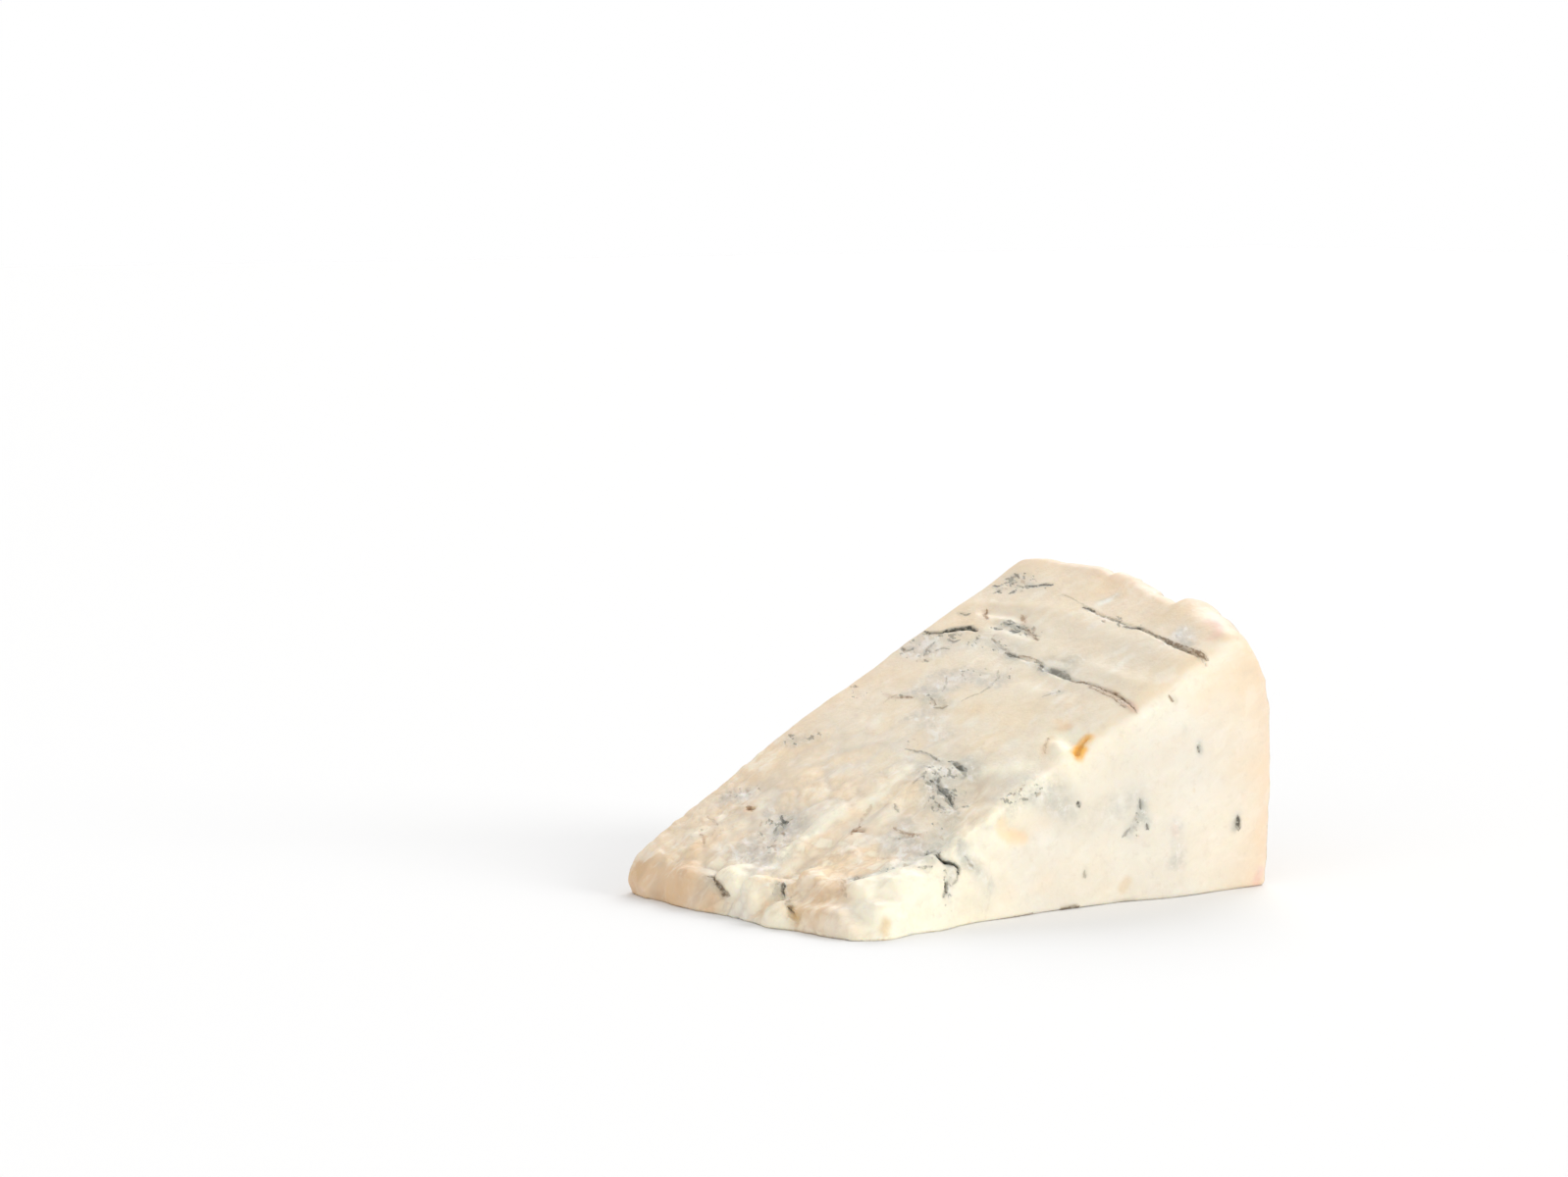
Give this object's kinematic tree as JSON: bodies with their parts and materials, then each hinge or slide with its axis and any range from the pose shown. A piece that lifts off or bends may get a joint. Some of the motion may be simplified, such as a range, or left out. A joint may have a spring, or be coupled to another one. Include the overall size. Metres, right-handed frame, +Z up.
{
  "type": "gorgonzola wedge",
  "caption": "Wedge of soft blue-veined cheese cut from a wheel, lying on one cut face, with a blunt nose and a curved rind end.",
  "frame": {"origin": "centre of the bounding box's underside, on the flat cut face that the wedge rests on", "axes": "+X along the wheel's radius, from the blunt nose to the curved rind; +Y along the wheel's axis, from the half-height cut to the flat rind; +Z up"},
  "size_m": [0.1378, 0.09, 0.0736],
  "materials": {
    "cream_paste": null
  },
  "bodies": {
    "root": {"cheese_wedge": "cream_paste"}
  },
  "joints": []
}
